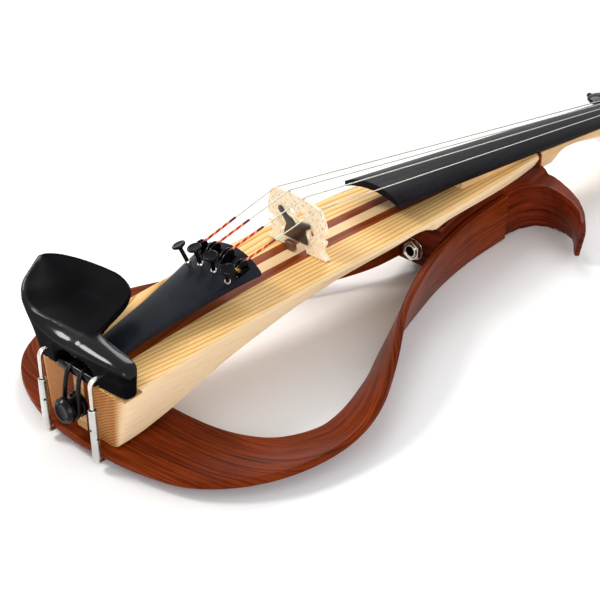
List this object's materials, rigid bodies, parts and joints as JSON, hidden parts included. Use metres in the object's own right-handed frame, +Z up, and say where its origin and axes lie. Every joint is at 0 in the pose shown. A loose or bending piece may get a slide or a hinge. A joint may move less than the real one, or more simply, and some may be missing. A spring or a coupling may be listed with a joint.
{
  "type": "electric violin",
  "caption": "Electric violin with a slim laminated stick body, a bent and twisted wooden frame band, a hooked shoulder block, pegs, fine tuners, chin rest and output jack.",
  "frame": {"origin": "middle of the instrument's outline, on the level of its lowest point", "axes": "+X from the tail to the scroll, +Y to the bass side, +Z up from the frame to the strings"},
  "size_m": [0.5976, 0.208, 0.087],
  "materials": {
    "spruce": "clear satin lacquer",
    "mahogany": "clear satin lacquer",
    "maple": "clear satin lacquer",
    "walnut": "clear satin lacquer",
    "ebony": "polished",
    "rosewood": "oiled",
    "bridge_maple": "raw, scraped",
    "composite": "satin",
    "nickel": "polished",
    "black_metal": "satin black",
    "steel": "bright",
    "black_plastic": "satin",
    "cork": "raw cork"
  },
  "bodies": {
    "instrument": {"body_core": "maple", "body_accent_bass": "mahogany", "body_accent_treble": "mahogany", "body_side_bass": "spruce", "body_side_treble": "spruce", "frame_band": "walnut", "shoulder_block": "walnut", "neck": "maple", "neck_joint_strip": "ebony", "fingerboard": "rosewood", "fingerboard_wedge": "maple", "nut": "ebony", "bridge": "bridge_maple", "bridge_pickup": "black_plastic", "pickup_connector": "black_plastic", "pickup_lead": "black_plastic", "tailpiece": "composite", "string_g": "steel", "string_d": "steel", "string_a": "steel", "string_e": "steel", "tailgut": "black_plastic", "saddle": "ebony", "end_button": "ebony", "chin_rest": "ebony", "chin_rest_cork_bass": "cork", "chin_rest_cork_treble": "cork", "clamp_stud_bass": "nickel", "clamp_stud_treble": "nickel", "jack_sleeve": "nickel", "jack_washer": "nickel", "jack_nut": "nickel", "jack_housing": "black_plastic"},
    "peg_g": {"peg_g": "ebony", "winding_g": "steel"},
    "peg_d": {"peg_d": "ebony", "winding_d": "steel"},
    "peg_a": {"peg_a": "ebony", "winding_a": "steel"},
    "peg_e": {"peg_e": "ebony", "winding_e": "steel"},
    "tuner_stem_g": {"tuner_stem_g": "black_metal"},
    "tuner_head_g": {"tuner_head_g": "black_metal"},
    "tuner_lever_g": {"tuner_lever_g": "black_metal"},
    "tuner_stem_d": {"tuner_stem_d": "black_metal"},
    "tuner_head_d": {"tuner_head_d": "black_metal"},
    "tuner_lever_d": {"tuner_lever_d": "black_metal"},
    "tuner_stem_a": {"tuner_stem_a": "black_metal"},
    "tuner_head_a": {"tuner_head_a": "black_metal"},
    "tuner_lever_a": {"tuner_lever_a": "black_metal"},
    "tuner_stem_e": {"tuner_stem_e": "black_metal"},
    "tuner_head_e": {"tuner_head_e": "black_metal"},
    "tuner_lever_e": {"tuner_lever_e": "black_metal"},
    "clamp_barrel_bass": {"clamp_barrel_bass": "nickel"},
    "clamp_foot_bass": {"clamp_foot_bass": "nickel"},
    "clamp_barrel_treble": {"clamp_barrel_treble": "nickel"},
    "clamp_foot_treble": {"clamp_foot_treble": "nickel"}
  },
  "joints": [
    {"name": "peg_g_turn", "type": "hinge", "parent": "instrument", "child": "peg_g", "pos_m": [0.21943, 0.00496, 0.02338], "axis": [0, 1, 0], "continuous": true},
    {"name": "peg_d_turn", "type": "hinge", "parent": "instrument", "child": "peg_d", "pos_m": [0.24337, 0.00496, 0.02026], "axis": [0, 1, 0], "continuous": true},
    {"name": "peg_a_turn", "type": "hinge", "parent": "instrument", "child": "peg_a", "pos_m": [0.25541, 0.00496, 0.0187], "axis": [0, -1, 0], "continuous": true},
    {"name": "peg_e_turn", "type": "hinge", "parent": "instrument", "child": "peg_e", "pos_m": [0.2314, 0.00496, 0.02182], "axis": [0, -1, 0], "continuous": true},
    {"name": "tuner_screw_g_turn", "type": "hinge", "parent": "tuner_stem_g", "child": "tuner_head_g", "pos_m": [-0.19758, 0.02322, 0.07261], "axis": [0.2417, -0.3379, -0.9096], "range_deg": [0, 1800]},
    {"name": "tuner_stem_g_advance", "type": "slide", "parent": "instrument", "child": "tuner_stem_g", "axis": [0.2417, -0.3379, -0.9096], "range_m": [0, 0.003]},
    {"name": "tuner_lever_g_tilt", "type": "hinge", "parent": "instrument", "child": "tuner_lever_g", "pos_m": [-0.18512, 0.02056, 0.06724], "axis": [0, -1, 0], "range_deg": [0, 18.5]},
    {"name": "tuner_screw_d_turn", "type": "hinge", "parent": "tuner_stem_d", "child": "tuner_head_d", "pos_m": [-0.19768, 0.01102, 0.07568], "axis": [0.255, -0.1188, -0.9596], "range_deg": [0, 1800]},
    {"name": "tuner_stem_d_advance", "type": "slide", "parent": "instrument", "child": "tuner_stem_d", "axis": [0.255, -0.1188, -0.9596], "range_m": [0, 0.003]},
    {"name": "tuner_lever_d_tilt", "type": "hinge", "parent": "instrument", "child": "tuner_lever_d", "pos_m": [-0.18512, 0.01016, 0.06988], "axis": [0, -1, 0], "range_deg": [0, 18.5]},
    {"name": "tuner_screw_a_turn", "type": "hinge", "parent": "tuner_stem_a", "child": "tuner_head_a", "pos_m": [-0.19768, -0.00133, 0.07565], "axis": [0.255, 0.1188, -0.9596], "range_deg": [0, 1800]},
    {"name": "tuner_stem_a_advance", "type": "slide", "parent": "instrument", "child": "tuner_stem_a", "axis": [0.255, 0.1188, -0.9596], "range_m": [0, 0.003]},
    {"name": "tuner_lever_a_tilt", "type": "hinge", "parent": "instrument", "child": "tuner_lever_a", "pos_m": [-0.18512, -0.00024, 0.06988], "axis": [0, -1, 0], "range_deg": [0, 18.5]},
    {"name": "tuner_screw_e_turn", "type": "hinge", "parent": "tuner_stem_e", "child": "tuner_head_e", "pos_m": [-0.19756, -0.01352, 0.07254], "axis": [0.2417, 0.3379, -0.9096], "range_deg": [0, 1800]},
    {"name": "tuner_stem_e_advance", "type": "slide", "parent": "instrument", "child": "tuner_stem_e", "axis": [0.2417, 0.3379, -0.9096], "range_m": [0, 0.003]},
    {"name": "tuner_lever_e_tilt", "type": "hinge", "parent": "instrument", "child": "tuner_lever_e", "pos_m": [-0.18512, -0.01064, 0.06724], "axis": [0, -1, 0], "range_deg": [0, 18.5]},
    {"name": "clamp_barrel_bass_turn", "type": "hinge", "parent": "instrument", "child": "clamp_barrel_bass", "pos_m": [-0.29362, 0.02326, 0.0218], "axis": [0, 0, 1], "range_deg": [0, 720]},
    {"name": "clamp_foot_bass_slide", "type": "slide", "parent": "instrument", "child": "clamp_foot_bass", "axis": [0, 0, -1], "range_m": [0, 0.002]},
    {"name": "clamp_barrel_treble_turn", "type": "hinge", "parent": "instrument", "child": "clamp_barrel_treble", "pos_m": [-0.29362, -0.01694, 0.0218], "axis": [0, 0, 1], "range_deg": [0, 720]},
    {"name": "clamp_foot_treble_slide", "type": "slide", "parent": "instrument", "child": "clamp_foot_treble", "axis": [0, 0, -1], "range_m": [0, 0.002]}
  ],
  "couplings": [
    {"joint": "tuner_stem_g_advance", "follows": "tuner_screw_g_turn", "m_per_rad": 0.000095493},
    {"joint": "tuner_lever_g_tilt", "follows": "tuner_screw_g_turn", "ratio": 0.010122},
    {"joint": "tuner_stem_d_advance", "follows": "tuner_screw_d_turn", "m_per_rad": 0.000095493},
    {"joint": "tuner_lever_d_tilt", "follows": "tuner_screw_d_turn", "ratio": 0.010122},
    {"joint": "tuner_stem_a_advance", "follows": "tuner_screw_a_turn", "m_per_rad": 0.000095493},
    {"joint": "tuner_lever_a_tilt", "follows": "tuner_screw_a_turn", "ratio": 0.010122},
    {"joint": "tuner_stem_e_advance", "follows": "tuner_screw_e_turn", "m_per_rad": 0.000095493},
    {"joint": "tuner_lever_e_tilt", "follows": "tuner_screw_e_turn", "ratio": 0.010122},
    {"joint": "clamp_foot_bass_slide", "follows": "clamp_barrel_bass_turn", "m_per_rad": 0.00015915},
    {"joint": "clamp_foot_treble_slide", "follows": "clamp_barrel_treble_turn", "m_per_rad": 0.00015915}
  ]
}
